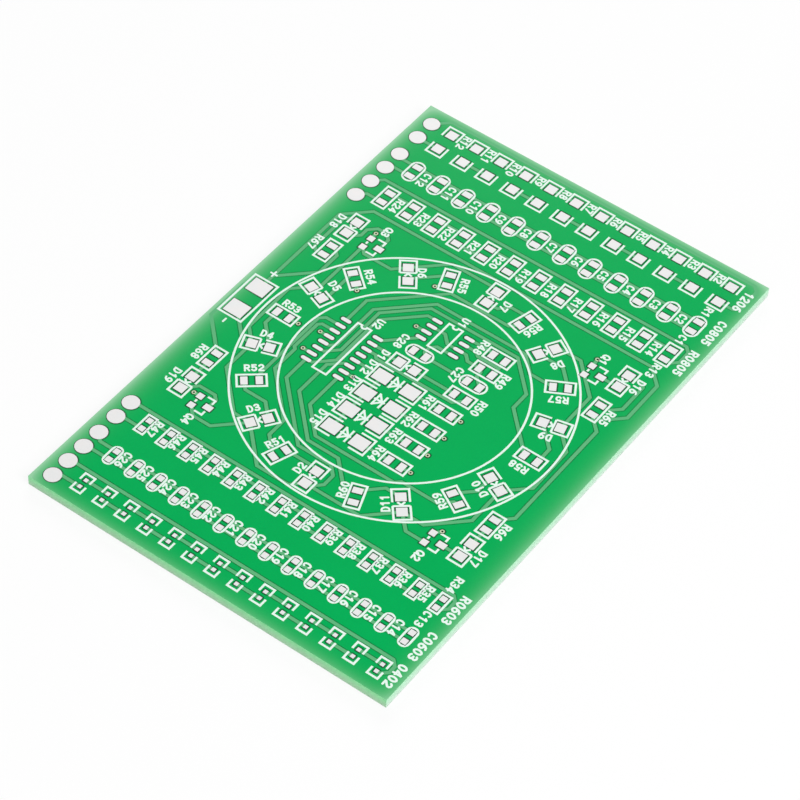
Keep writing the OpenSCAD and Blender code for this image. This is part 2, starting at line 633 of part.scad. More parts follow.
module transistor_outline() {
    end_x = span_sot / 2 + 0.1;
    for (side = [-1, 1])
        lines([[[end_x - print_w_sot, side * print_l_sot / 2], [end_x, side * print_l_sot / 2],
                [end_x, side * print_l_sot / 4]]], ink_w);
    lines([[[-span_sot / 2, -pitch_sot / 8], [-span_sot / 2, pitch_sot / 8]]], ink_w);
}
module circuit_outline(pins) {
    l = (pins - 1) * pitch_so + 2 * print_over_so;
    difference() {
        square([print_w_so + ink_w, l + ink_w], center = true);
        translate([0, l / 2]) circle(r = notch_so - ink_w / 2);
        difference() {
            square([print_w_so - ink_w, l - ink_w], center = true);
            translate([0, l / 2]) circle(r = notch_so + ink_w / 2);
        }
    }
}

// Layers: a flat shape stood at its level
module layer(base, t) {
    translate([0, 0, base]) linear_extrude(t) children();
}
module board_shape() {
    square([board_w, board_l], center = true);
}
module tinned() {
    color(land_colour) layer(core_top, land_t) children();
}
module printed() {
    color(ink_colour) layer(board_t, ink_t) children();
}
module copper(paths) {
    color(track_colour) layer(core_top, mask_t) difference() {
        lines(paths, track_w);
        all_lands();
    }
}
module at_each(places) {
    for (p = places) at_place(p) children();
}
// The two circles of the ring
module ring_shape() {
    translate(ring_centre) for (r = [ring_inner_r, ring_outer_r]) difference() {
        circle(r = r + ink_w / 2, $fn = 180);
        circle(r = r - ink_w / 2, $fn = 180);
    }
}
// Print round each part, kept off its own lands and the vias, and in the middle off the circles
module via_openings() {
    round_lands(via_places, via_ring_d + 2 * mask_gap);
}
module print_round(places, chip) {
    printed() difference() {
        at_each(places) children();
        chip_lands(places, chip, mask_gap);
        via_openings();
    }
}
module print_by_ring(places, chip) {
    printed() difference() {
        at_each(places) children();
        chip_lands(places, chip, mask_gap);
        via_openings();
        ring_shape();
    }
}

module laminate() {
    color(laminate_colour) layer(core_base, core_t) difference() {
        board_shape();
        round_lands(via_places, barrel_d);
    }
}
module solder_mask_top() {
    color(mask_colour) layer(core_top, mask_t) difference() {
        board_shape();
        all_lands(mask_gap);
        lines(concat(series_paths, parallel_paths, supply_paths, common_paths, counter_paths,
                     timer_paths, light_paths, corner_paths, diode_paths), track_w);
    }
}
module solder_mask_bottom() {
    color(mask_colour) layer(0, mask_t) difference() {
        board_shape();
        via_openings();
    }
}
module plated_vias() {
    color(land_colour) for (p = via_places) translate(p) difference() {
        union() {
            cylinder(d = via_ring_d, h = core_base);
            translate([0, 0, core_base]) cylinder(d = barrel_d, h = core_t);
            translate([0, 0, core_top]) cylinder(d = via_ring_d, h = land_t);
        }
        translate([0, 0, -past]) cylinder(d = via_hole_d, h = board_t + 2 * past);
    }
}

module series_row_tracks() { copper(series_paths); }
module parallel_row_tracks() { copper(parallel_paths); }
module supply_tracks() { copper(supply_paths); }
module light_common_tracks() { copper(common_paths); }
module counter_tracks() { copper(counter_paths); }
module timer_tracks() { copper(timer_paths); }
module light_tracks() { copper(light_paths); }
module corner_tracks() { copper(corner_paths); }
module diode_tracks() { copper(diode_paths); }

module test_lands() { tinned() round_lands(test_places, test_d); }
module lands_1206() { tinned() chip_lands(row_1206, chip_1206); }
module lands_c0805() { tinned() chip_lands(row_c0805, chip_0805); }
module lands_r0805() { tinned() chip_lands(row_r0805, chip_0805); }
module lands_r0603() { tinned() chip_lands(row_r0603, chip_0603); }
module lands_c0603() { tinned() chip_lands(row_c0603, chip_0603); }
module lands_0402() { tinned() chip_lands(row_0402, chip_0402); }
module ring_led_lands() { tinned() chip_lands(ring_leds, led); }
module ring_resistor_lands() { tinned() chip_lands(ring_resistors, chip_0805); }
module corner_led_lands() { tinned() chip_lands(corner_leds, led); }
module corner_resistor_lands() { tinned() chip_lands(corner_resistors, chip_0805); }
module transistor_lands() { tinned() transistor_shapes(); }
module timer_lands() { tinned() circuit_lands(concat(time_l, time_r)); }
module counter_lands() { tinned() circuit_lands(concat(count_l, count_r)); }
module timer_resistor_lands() { tinned() chip_lands(timer_resistors, chip_0805); }
module timer_capacitor_lands() { tinned() chip_lands(timer_capacitors, chip_0805); }
module signal_led_lands() { tinned() chip_lands(signal_led, led); }
module diode_lands() { tinned() chip_lands(diodes, diode); }
module diode_resistor_lands() { tinned() chip_lands(diode_resistors, chip_0805); }
module power_lands() { tinned() power_shapes(); }

module print_1206() {
    print_round(row_1206, chip_1206) bracket_pair(print_w_1206, print_l_1206, print_gap_1206);
}
module print_c0805() {
    print_round(row_c0805, chip_0805) pill_outline(print_w_0805, print_l_0805);
}
module print_r0805() {
    print_round(row_r0805, chip_0805) box_outline(print_w_0805, print_l_0805);
}
module print_r0603() {
    print_round(row_r0603, chip_0603) box_outline(print_w_0603, print_l_0603);
}
module print_c0603() {
    print_round(row_c0603, chip_0603) pill_outline(print_w_0603, print_l_0603);
}
module print_0402() {
    print_round(row_0402, chip_0402) bracket_pair(print_w_0402, print_l_0402, print_gap_0402);
}
module ring_circles() {
    printed() difference() {
        ring_shape();
        all_lands(mask_gap);
    }
}
module ring_led_print() { print_by_ring(ring_leds, led) led_outline(); }
module ring_resistor_print() {
    print_by_ring(ring_resistors, chip_0805) box_outline(print_w_0805, print_l_0805);
}
module corner_led_print() { print_by_ring(corner_leds, led) led_outline(); }
module corner_resistor_print() {
    print_by_ring(corner_resistors, chip_0805) box_outline(print_w_0805, print_l_0805);
}
module transistor_print() {
    printed() difference() {
        at_each(transistors) transistor_outline();
        transistor_shapes(mask_gap);
        via_openings();
    }
}
module timer_print() { printed() at_place(timer_place) circuit_outline(timer_pins); }
module counter_print() { printed() at_place(counter_place) circuit_outline(counter_pins); }
module timer_resistor_print() {
    print_by_ring(timer_resistors, chip_0805) box_outline(print_w_0805, print_l_0805);
}
module timer_capacitor_print() {
    print_by_ring(timer_capacitors, chip_0805) pill_outline(print_w_0805, print_l_0805);
}
module signal_led_print() { print_by_ring(signal_led, led) led_outline(); }
module diode_print() { print_by_ring(diodes, diode) diode_outline(); }
module diode_resistor_print() {
    print_by_ring(diode_resistors, chip_0805) box_outline(print_w_0805, print_l_0805);
}
module power_print() {
    printed() at_place(power_place) box_outline(print_w_power, print_l_power);
}

laminate();
solder_mask_top();
solder_mask_bottom();
plated_vias();
series_row_tracks();
parallel_row_tracks();
supply_tracks();
light_common_tracks();
counter_tracks();
timer_tracks();
light_tracks();
corner_tracks();
diode_tracks();
test_lands();
lands_1206();
lands_c0805();
lands_r0805();
lands_r0603();
lands_c0603();
lands_0402();
ring_led_lands();
ring_resistor_lands();
corner_led_lands();
corner_resistor_lands();
transistor_lands();
timer_lands();
counter_lands();
timer_resistor_lands();
timer_capacitor_lands();
signal_led_lands();
diode_lands();
diode_resistor_lands();
power_lands();
print_1206();
print_c0805();
print_r0805();
print_r0603();
print_c0603();
print_0402();
ring_circles();
ring_led_print();
ring_resistor_print();
corner_led_print();
corner_resistor_print();
transistor_print();
timer_print();
counter_print();
timer_resistor_print();
timer_capacitor_print();
signal_led_print();
diode_print();
diode_resistor_print();
power_print();
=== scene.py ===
import math

import bmesh
import bpy
from mathutils import Matrix, Quaternion, Vector


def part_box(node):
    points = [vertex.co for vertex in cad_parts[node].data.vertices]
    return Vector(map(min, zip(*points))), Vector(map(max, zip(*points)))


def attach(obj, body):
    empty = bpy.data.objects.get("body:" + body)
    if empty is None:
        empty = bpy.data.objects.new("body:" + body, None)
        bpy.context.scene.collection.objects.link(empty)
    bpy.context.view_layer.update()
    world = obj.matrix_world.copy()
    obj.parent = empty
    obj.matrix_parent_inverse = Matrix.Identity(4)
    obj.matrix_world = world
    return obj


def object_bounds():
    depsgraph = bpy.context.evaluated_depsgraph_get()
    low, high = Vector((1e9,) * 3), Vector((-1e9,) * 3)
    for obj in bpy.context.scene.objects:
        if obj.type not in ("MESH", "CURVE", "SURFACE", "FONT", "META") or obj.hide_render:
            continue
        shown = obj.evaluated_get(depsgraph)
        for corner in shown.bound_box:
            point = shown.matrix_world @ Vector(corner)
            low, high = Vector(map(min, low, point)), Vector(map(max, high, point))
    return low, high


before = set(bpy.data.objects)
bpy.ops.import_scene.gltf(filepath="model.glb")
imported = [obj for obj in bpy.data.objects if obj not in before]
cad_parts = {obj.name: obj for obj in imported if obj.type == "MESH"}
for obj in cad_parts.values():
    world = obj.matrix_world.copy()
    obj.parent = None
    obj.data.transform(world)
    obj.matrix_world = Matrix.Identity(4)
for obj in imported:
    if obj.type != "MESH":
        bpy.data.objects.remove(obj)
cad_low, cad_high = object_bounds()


# The laminate is woven glass cloth pressed in epoxy, cut square at its four edges.
# The cut shows the pale plies of glass one above the other, a little ragged from the router. Light is
# painted into its colour:
# greener towards the mask, whose colour shines into it, and paler on the long sides than on the ends, as
# lit and shaded sides.
# Its face is painted dark, as the shade in the narrow gap round each land, where it shows as a thin dark
# line.
MM = 0.001
PLY_HEIGHT = 0.2 * MM
GLASS_YARN = 0.35 * MM
# A wave texture of scale 1 turns by this many radians in a metre
WAVE_TURN = 20
# A colour mix is set by the places of its sockets, because its other kinds of data use the same names
SHARE, FIRST, SECOND, MIXED = 0, 6, 7, 2
board_low, board_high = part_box("laminate")


def colour(written):
    """A written sRGB hex colour as the linear colour that a shader takes."""
    parts = [int(written[k:k + 2], 16) / 255 for k in (1, 3, 5)]
    linear = [c / 12.92 if c <= 0.04045 else ((c + 0.055) / 1.055) ** 2.4 for c in parts]
    return (*linear, 1.0)


def add(tree, kind, options=None, values=None, links=None):
    """One shader node, with its own options, the values of its sockets and the links into them."""
    made = tree.nodes.new("ShaderNode" + kind)
    for option, value in (options or {}).items():
        setattr(made, option, value)
    for socket, value in (values or {}).items():
        made.inputs[socket].default_value = value
    for socket, source in (links or {}).items():
        tree.links.new(source, made.inputs[socket])
    return made


def start_finish(name):
    """A new material, its nodes and its surface shader."""
    material = bpy.data.materials.new(name)
    material.use_nodes = True
    return material, material.node_tree, material.node_tree.nodes["Principled BSDF"]


def coat(material, *names):
    """Give the board's own layers their finish."""
    for name in names:
        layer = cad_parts[name].data
        layer.materials.clear()
        layer.materials.append(material)


glass_epoxy, tree, surface = start_finish("glass_epoxy_laminate")
place = add(tree, "TexCoord").outputs["Object"]
plies = add(tree, "TexWave", {"wave_type": "BANDS", "bands_direction": "Z"},
            {"Scale": 2 * math.pi / WAVE_TURN / PLY_HEIGHT, "Distortion": 2.5, "Detail": 2.0,
             "Detail Scale": 0.6}, {"Vector": place})
yarns = add(tree, "TexNoise", values={"Scale": 1 / GLASS_YARN, "Detail": 3.0}, links={"Vector": place})
height = add(tree, "SeparateXYZ", links={0: place})
shone_in = add(tree, "MapRange", values={"From Min": board_low.z, "From Max": board_high.z},
               links={"Value": height.outputs["Z"]})
normal = add(tree, "SeparateXYZ", links={0: add(tree, "NewGeometry").outputs["Normal"]})
# Painted light: the long sides are painted paler and the ends darker, as lit and shaded sides
paler_lit_sides = add(tree, "Math", {"operation": "ABSOLUTE"}, links={0: normal.outputs["X"]})
low_glass = add(tree, "Mix", {"data_type": "RGBA"},
                {FIRST: colour("#b5dab9"), SECOND: colour("#d3e8d9")},
                {SHARE: paler_lit_sides.outputs[0]})
high_glass = add(tree, "Mix", {"data_type": "RGBA"},
                 {FIRST: colour("#8eeca4"), SECOND: colour("#b4f0c6")},
                 {SHARE: paler_lit_sides.outputs[0]})
glass = add(tree, "Mix", {"data_type": "RGBA"}, links={
    SHARE: shone_in.outputs[0], FIRST: low_glass.outputs[MIXED], SECOND: high_glass.outputs[MIXED]})
cut = add(tree, "Mix", {"data_type": "RGBA", "blend_type": "SOFT_LIGHT"}, {SHARE: 0.35},
          {FIRST: glass.outputs[MIXED], SECOND: plies.outputs["Color"]})
ragged = add(tree, "Mix", {"data_type": "RGBA", "blend_type": "MULTIPLY"}, {SHARE: 0.1},
             {FIRST: cut.outputs[MIXED], SECOND: yarns.outputs["Fac"]})
# Painted shade: the top and bottom face are painted dark, as the shade in the narrow gaps round the lands
facing_up = add(tree, "Math", {"operation": "ABSOLUTE"}, links={0: normal.outputs["Z"]})
face = add(tree, "Mix", {"data_type": "RGBA"}, {SECOND: colour("#0c2416")},
           {SHARE: facing_up.outputs[0], FIRST: ragged.outputs[MIXED]})
relief = add(tree, "Bump", values={"Strength": 0.25, "Distance": 0.02 * MM},
             links={"Height": yarns.outputs["Fac"]})
tree.links.new(face.outputs[MIXED], surface.inputs["Base Color"])
tree.links.new(relief.outputs[0], surface.inputs["Normal"])
surface.inputs["Roughness"].default_value = 0.6
surface.inputs["IOR"].default_value = 1.55
surface.inputs["Specular IOR Level"].default_value = 0.3
coat(glass_epoxy, "laminate")


# The tracks are etched copper foil under the solder mask, joining the lands of each circuit.
# The mask over them is thin, so the copper shows through it as a paler, greyer green
# that drifts a little towards brown where the ink lies thinnest.
TRACK_DRIFT = 2.5 * MM
# The grain of copper and tin is finer than a pixel, so it is drawn this coarse to show
TRACK_GRAIN = 0.12 * MM
masked_copper, tree, surface = start_finish("copper_under_solder_mask")
place = add(tree, "TexCoord").outputs["Object"]
drift = add(tree, "TexNoise", values={"Scale": 1 / TRACK_DRIFT, "Detail": 2.0}, links={"Vector": place})
grain = add(tree, "TexNoise", values={"Scale": 1 / TRACK_GRAIN, "Detail": 1.0}, links={"Vector": place})
tint = add(tree, "Mix", {"data_type": "RGBA"},
           {FIRST: colour("#58b47c"), SECOND: colour("#68b47c")}, {SHARE: drift.outputs["Fac"]})
relief = add(tree, "Bump", values={"Strength": 0.1, "Distance": 0.01 * MM},
             links={"Height": grain.outputs["Fac"]})
tree.links.new(tint.outputs[MIXED], surface.inputs["Base Color"])
tree.links.new(relief.outputs[0], surface.inputs["Normal"])
surface.inputs["Roughness"].default_value = 0.25
surface.inputs["Specular IOR Level"].default_value = 0.06
coat(masked_copper, *[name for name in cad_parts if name.endswith("_tracks")])


# The vias are holes plated through with copper and tinned, with a thin ring on each face.
# They are left open and the mask keeps off them, so each shows as a small straw-coloured ring
# round a dull dark hole, whose wall is painted dark as the shade inside the barrel.
VIA_GRAIN = 0.08 * MM
via_plating, tree, surface = start_finish("tinned_copper_plating")
place = add(tree, "TexCoord").outputs["Object"]
grain = add(tree, "TexNoise", values={"Scale": 1 / VIA_GRAIN, "Detail": 2.0}, links={"Vector": place})
tint = add(tree, "Mix", {"data_type": "RGBA"},
           {FIRST: colour("#b6c8a0"), SECOND: colour("#d0dcba")}, {SHARE: grain.outputs["Fac"]})
normal = add(tree, "SeparateXYZ", links={0: add(tree, "NewGeometry").outputs["Normal"]})
facing_up = add(tree, "Math", {"operation": "ABSOLUTE"}, links={0: normal.outputs["Z"]})
# Painted shade: the wall of the hole is painted dark, as the shade inside the barrel
plated = add(tree, "Mix", {"data_type": "RGBA"}, {FIRST: colour("#3c4a30")},
             {SHARE: facing_up.outputs[0], SECOND: tint.outputs[MIXED]})
relief = add(tree, "Bump", values={"Strength": 0.2, "Distance": 0.01 * MM},
             links={"Height": grain.outputs["Fac"]})
tree.links.new(plated.outputs[MIXED], surface.inputs["Base Color"])
tree.links.new(relief.outputs[0], surface.inputs["Normal"])
surface.inputs["Metallic"].default_value = 0.15
surface.inputs["Roughness"].default_value = 0.5
coat(via_plating, "plated_vias")


# The solder mask is green epoxy ink, flooded over both faces and cured, open over each land and via.
# It has a half gloss with a faint orange peel, and where it ends at an opening its green is painted darker,
# as shade.
# Light from the cut edges of the laminate comes up through it along the rim; this pale glow is painted into
# its green there.
MASK_MOTTLE = 6 * MM
MASK_GRAIN = 0.2 * MM
ORANGE_PEEL = 0.9 * MM
# The painted shade round each opening is drawn wider than the real one, so that it shows as a dark outline
# of each land and track
EDGE_SHADE_REACH = 0.25 * MM
EDGE_SHADE_SHARE = 0.9
# The outline is whole where the rounded edge leans by this cosine, and it fades out as the rim pales
EDGE_SHADE_LEAN = 0.9
RIM_OVER_OUTLINE = 4.0
# Each edge: its axis, which end of that axis it is, how far the painted pale glow reaches and how strong it
# is
RIM = [("X", -1, 0.92 * MM, 1.16), ("X", 1, 0.86 * MM, 0.53),
       ("Y", -1, 0.75 * MM, 0.33), ("Y", 1, 0.83 * MM, 0.92)]
solder_mask, tree, surface = start_finish("cured_epoxy_solder_mask")
place = add(tree, "TexCoord").outputs["Object"]
axes = add(tree, "SeparateXYZ", links={0: place})
painted_rim_glow = None
# Painted light: a pale glow that fades inwards from each edge of the board
for axis, end, reach, strength in RIM:
    edge = (board_high if end > 0 else board_low)["XYZ".index(axis)]
    inwards = add(tree, "Math", {"operation": "MULTIPLY_ADD"}, {1: end / reach, 2: -end * edge / reach},
                  {0: axes.outputs[axis]})
    fade = add(tree, "Math", {"operation": "EXPONENT"}, links={0: inwards.outputs[0]})
    total = add(tree, "Math", {"operation": "MULTIPLY_ADD"}, {1: strength, 2: 0.0}, {0: fade.outputs[0]})
    if painted_rim_glow:
        tree.links.new(painted_rim_glow.outputs[0], total.inputs[2])
    painted_rim_glow = total
mottle = add(tree, "TexNoise", values={"Scale": 1 / MASK_MOTTLE, "Detail": 3.0}, links={"Vector": place})
grain = add(tree, "TexNoise", values={"Scale": 1 / MASK_GRAIN, "Detail": 2.0}, links={"Vector": place})
peel = add(tree, "TexNoise", values={"Scale": 1 / ORANGE_PEEL, "Detail": 1.0}, links={"Vector": place})
green = add(tree, "Mix", {"data_type": "RGBA"},
            {FIRST: colour("#00a853"), SECOND: colour("#02ae58")}, {SHARE: mottle.outputs["Fac"]})
speckled = add(tree, "Mix", {"data_type": "RGBA", "blend_type": "SOFT_LIGHT"}, {SHARE: 0.12},
               {FIRST: green.outputs[MIXED], SECOND: grain.outputs["Color"]})
# Painted shade: the mask is darkened round each opening, where a rounded normal leans away from the flat
# one
rounded = add(tree, "Bevel", {"samples": 16}, {"Radius": EDGE_SHADE_REACH})
flat = add(tree, "NewGeometry").outputs["Normal"]
agreeing = add(tree, "VectorMath", {"operation": "DOT_PRODUCT"}, links={0: rounded.outputs[0], 1: flat})
leaning = add(tree, "Math", {"operation": "ABSOLUTE"}, links={0: agreeing.outputs["Value"]})
painted_edge_shade = add(tree, "MapRange", values={"From Min": 1.0, "From Max": EDGE_SHADE_LEAN, "To Max": EDGE_SHADE_SHARE},
             links={"Value": leaning.outputs[0]})
off_rim = add(tree, "Math", {"operation": "MULTIPLY_ADD", "use_clamp": True},
              {1: -RIM_OVER_OUTLINE, 2: 1.0}, {0: painted_rim_glow.outputs[0]})
outline = add(tree, "Math", {"operation": "MULTIPLY"}, links={0: painted_edge_shade.outputs[0], 1: off_rim.outputs[0]})
outlined = add(tree, "Mix", {"data_type": "RGBA"}, {SECOND: colour("#045028")},
               {SHARE: outline.outputs[0], FIRST: speckled.outputs[MIXED]})
rimmed = add(tree, "Mix", {"data_type": "RGBA"}, {SECOND: colour("#96d0a5")},
             {SHARE: painted_rim_glow.outputs[0], FIRST: outlined.outputs[MIXED]})
relief = add(tree, "Bump", values={"Strength": 0.12, "Distance": 0.02 * MM},
             links={"Height": peel.outputs["Fac"]})
tree.links.new(rimmed.outputs[MIXED], surface.inputs["Base Color"])
tree.links.new(relief.outputs[0], surface.inputs["Normal"])
surface.inputs["Roughness"].default_value = 0.22
surface.inputs["Specular IOR Level"].default_value = 0.06
coat(solder_mask, "solder_mask_top", "solder_mask_bottom")


# The lands are bare copper dipped in molten tin and levelled with hot air.
# The tin sets with a soft satin shine, a shade pink or blue from place to place, and fine grain.
TIN_CLOUD = 1.1 * MM
TIN_GRAIN = 0.15 * MM
levelled_tin, tree, surface = start_finish("hot_air_levelled_tin")
place = add(tree, "TexCoord").outputs["Object"]
cloud = add(tree, "TexNoise", values={"Scale": 1 / TIN_CLOUD, "Detail": 2.0}, links={"Vector": place})
grain = add(tree, "TexNoise", values={"Scale": 1 / TIN_GRAIN, "Detail": 3.0}, links={"Vector": place})
tint = add(tree, "Mix", {"data_type": "RGBA"},
           {FIRST: colour("#ebe6e5"), SECOND: colour("#e2e6e6")}, {SHARE: cloud.outputs["Fac"]})
relief = add(tree, "Bump", values={"Strength": 0.15, "Distance": 0.01 * MM},
             links={"Height": grain.outputs["Fac"]})
tree.links.new(tint.outputs[MIXED], surface.inputs["Base Color"])
tree.links.new(relief.outputs[0], surface.inputs["Normal"])
surface.inputs["Metallic"].default_value = 0.15
surface.inputs["Roughness"].default_value = 0.55
surface.inputs["Specular IOR Level"].default_value = 0.2
coat(levelled_tin, *[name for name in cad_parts
                     if name.startswith("lands_") or name.endswith("_lands")])


# The legend is white epoxy ink pressed through a screen: the outlines of the parts and the two circles.
# It dries matt and a trifle uneven, with the green just showing where it is thin.
INK_CLOUD = 0.8 * MM
SCREEN_MESH = 0.1 * MM
legend_ink, tree, surface = start_finish("white_legend_ink")
place = add(tree, "TexCoord").outputs["Object"]
cloud = add(tree, "TexNoise", values={"Scale": 1 / INK_CLOUD, "Detail": 2.0}, links={"Vector": place})
mesh_mark = add(tree, "TexNoise", values={"Scale": 1 / SCREEN_MESH, "Detail": 1.0}, links={"Vector": place})
tint = add(tree, "Mix", {"data_type": "RGBA"},
           {FIRST: colour("#e0f3e9"), SECOND: colour("#ecf9f2")}, {SHARE: cloud.outputs["Fac"]})
relief = add(tree, "Bump", values={"Strength": 0.2, "Distance": 0.01 * MM},
             links={"Height": mesh_mark.outputs["Fac"]})
tree.links.new(tint.outputs[MIXED], surface.inputs["Base Color"])
tree.links.new(relief.outputs[0], surface.inputs["Normal"])
surface.inputs["Roughness"].default_value = 0.65
surface.inputs["Specular IOR Level"].default_value = 0.25
coat(legend_ink, *[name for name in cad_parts
                   if name.startswith("print_") or name.endswith("_print") or name == "ring_circles"])


# The lettering is part of the same white print: a number beside each part and a case size by each row.
# Every letter is drawn with one round pen, as on any circuit board, so all lines have one width
# and round ends.
PEN = 0.27 * MM
LETTER_HEIGHT = 1.0 * MM
LETTER_WIDTH = 0.58 * MM
LETTER_STEP = 0.95 * MM
# A bow is drawn in straight pieces that turn by about this many degrees each
BOW_STEP = 30
# Points this close are one point, corners this close to a stroke's end are rounded, by this much
SAME_POINT = PEN / 50
END_REACH = PEN * 0.55
END_ROUNDING = PEN * 0.4
# Faces of a finished letter that turn by less than this many degrees become one
FLAT_ENOUGH = 1
mask_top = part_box("solder_mask_top")[1].z
ink_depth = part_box("ring_circles")[1].z - mask_top


def bow(cx, cy, rx, ry, start, end):
    """Points along part of an oval, from one angle to another in degrees, both ends included."""
    steps = max(2, round(abs(end - start) / BOW_STEP))
    turns = [math.radians(start + (end - start) * k / steps) for k in range(steps + 1)]
    return [(cx + rx * math.cos(a), cy + ry * math.sin(a)) for a in turns]


# Pen strokes of each letter, on a box one wide and one high
STROKES = {
    "R": [[(0, 0), (0, 1), *bow(0.55, 0.74, 0.45, 0.26, 90, -90), (0.1, 0.48)], [(0.45, 0.48), (1, 0)]],
    "C": [bow(0.52, 0.5, 0.52, 0.5, 45, 315)],
    "D": [[(0, 0), (0, 1), *bow(0.4, 0.5, 0.6, 0.5, 90, -90), (0, 0)]],
    "Q": [bow(0.5, 0.5, 0.62, 0.5, 0, 360), [(0.7, 0.3), (1.2, -0.08)]],
    "U": [[(0, 1), *bow(0.5, 0.38, 0.5, 0.38, 180, 360), (1, 1)]],
    "0": [bow(0.5, 0.5, 0.5, 0.5, 0, 360)],
    "1": [[(0.15, 0.78), (0.47, 1), (0.57, 1), (0.57, 0)]],
    "2": [[*bow(0.5, 0.72, 0.48, 0.28, 165, -35), (0.02, 0.1), (0.02, 0), (1, 0)]],
    "3": [[*bow(0.45, 0.75, 0.47, 0.25, 150, -90), (0.3, 0.5)], bow(0.45, 0.25, 0.53, 0.25, 80, -150)],
    "4": [[(0.75, 0), (0.75, 1), (0.66, 1), (0, 0.38), (0, 0.3), (1, 0.3)]],
    "5": [[(0.9, 1), (0.1, 1), (0.1, 0.6), (0.16, 0.57), *bow(0.45, 0.33, 0.53, 0.33, 105, -150)]],
    "6": [bow(0.85, 0.3, 0.85, 0.7, 90, 175), bow(0.5, 0.3, 0.5, 0.3, 0, 360)],
    "7": [[(0, 1), (1, 1), (1, 0.92), (0.35, 0)]],
    "8": [bow(0.5, 0.75, 0.42, 0.25, 0, 360), bow(0.5, 0.26, 0.5, 0.26, 0, 360)],
    "9": [bow(0.15, 0.7, 0.85, 0.7, -90, -5), bow(0.5, 0.7, 0.5, 0.3, 0, 360)],
    "+": [[(-0.33, 0.5), (1.33, 0.5)], [(0.5, 0.02), (0.5, 0.98)]],
    "-": [[(-0.07, 0.5), (1.07, 0.5)]],
}


def draw_stroke(points):
    """One stroke: the pen's path, laid out point by point, raised to a wall of ink and thickened."""
    bpy.ops.object.select_all(action="DESELECT")
    bpy.ops.mesh.primitive_plane_add(size=PEN)
    stroke = bpy.context.object
    bpy.ops.object.mode_set(mode="EDIT")
    bpy.ops.mesh.merge(type="CENTER")
    path = [Vector((x * LETTER_WIDTH, (y - 0.5) * LETTER_HEIGHT, mask_top)) for x, y in points]
    closed = (path[0] - path[-1]).length < SAME_POINT
    if not closed:
        path[0] += (path[0] - path[1]).normalized() * PEN / 2
        path[-1] += (path[-1] - path[-2]).normalized() * PEN / 2
    bpy.ops.transform.translate(value=path[0])
    for here, there in zip(path, path[1:]):
        bpy.ops.mesh.extrude_vertices_move(TRANSFORM_OT_translate={"value": there - here})
    bpy.ops.mesh.select_all(action="SELECT")
    bpy.ops.mesh.remove_doubles(threshold=SAME_POINT)
    bpy.ops.mesh.extrude_edges_move(TRANSFORM_OT_translate={"value": (0, 0, ink_depth)})
    bpy.ops.object.mode_set(mode="OBJECT")
    pen = stroke.modifiers.new("pen", "SOLIDIFY")
    pen.thickness = PEN
    pen.offset = 0
    pen.use_even_offset = True
    bpy.ops.object.modifier_apply(modifier=pen.name)
    bpy.ops.object.mode_set(mode="EDIT")
    bpy.ops.mesh.select_all(action="SELECT")
    bpy.ops.mesh.normals_make_consistent(inside=False)
    bpy.ops.mesh.select_all(action="DESELECT")
    open_ends = [] if closed else [path[0].xy, path[-1].xy]
    for edge in bmesh.from_edit_mesh(stroke.data).edges:
        upright = (edge.verts[0].co.xy - edge.verts[1].co.xy).length < SAME_POINT
        if upright and any((edge.verts[0].co.xy - end).length < END_REACH for end in open_ends):
            edge.select_set(True)
    bpy.ops.mesh.bevel(offset=END_ROUNDING, segments=2)
    bpy.ops.object.mode_set(mode="OBJECT")
    return stroke


def draw_letter(strokes):
    """One letter, standing on the mask at the origin, its strokes run together."""
    drawn = [draw_stroke(points) for points in strokes]
    for stroke in drawn:
        stroke.select_set(True)
    bpy.ops.object.join()
    letter = bpy.context.object
    bpy.ops.object.mode_set(mode="EDIT")
    bpy.ops.mesh.select_all(action="SELECT")
    bpy.ops.mesh.intersect_boolean(operation="UNION", use_self=True, solver="EXACT", threshold=0)
    bpy.ops.mesh.select_all(action="SELECT")
    bpy.ops.mesh.dissolve_limited(angle_limit=math.radians(FLAT_ENOUGH))
    bpy.ops.object.mode_set(mode="OBJECT")
    return letter


letters = {sign: draw_letter(strokes) for sign, strokes in STROKES.items()}


def word_length(text):
    """From the first letter's left side to the last one's right side."""
    return (len(text) - 1) * LETTER_STEP + LETTER_WIDTH


def print_words(name, words, size=1.0):
    """One printed group. Each word has its text, its middle in millimetres and its turn in degrees."""
    bpy.ops.object.select_all(action="DESELECT")
    for text, x, y, turn in words:
        for k, sign in enumerate(text):
            copy = letters[sign].copy()
            copy.data = letters[sign].data.copy()
            copy.data.transform(Matrix.Translation((x * MM, y * MM, 0))
                                @ Matrix.Rotation(math.radians(turn), 4, "Z")
                                @ Matrix.Diagonal((size, size, 1, 1))
                                @ Matrix.Translation((k * LETTER_STEP - word_length(text) / 2, 0, 0)))
            bpy.context.collection.objects.link(copy)
            copy.select_set(True)
            bpy.context.view_layer.objects.active = copy
    bpy.ops.object.join()
    group = bpy.context.object
    group.name = name
    group.data.name = name
    group.data.materials.append(legend_ink)
    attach(group, "root")


# Most words read downwards, seen with the long side of the board upright
DOWN = -90
UPPER_COLUMNS = 12
LOWER_COLUMNS = 14


def row_numbers(row, letter, first, columns, outline_w, aside, start, last):
    """Numbers that count down along a row, each beside its part; the last one stands at its own place.

    Lengths are in millimetres. The numbers stand aside of their parts and begin at start, measured from
    the middle of the row; last is the place where the last one begins, measured from its part.
    """
    low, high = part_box(row)
    left, right = low.x / MM + outline_w / 2, high.x / MM - outline_w / 2
    step = (right - left) / (columns - 1)
    places = [(left + k * step + aside, start) for k in range(columns - 1)] + [(right + last[0], last[1])]
    words = []
    for k, (x, y) in enumerate(places):
        text = f"{letter}{first - k}"
        words.append((text, x, (low.y + high.y) / 2 / MM + y - word_length(text) / MM / 2, DOWN))
    return words


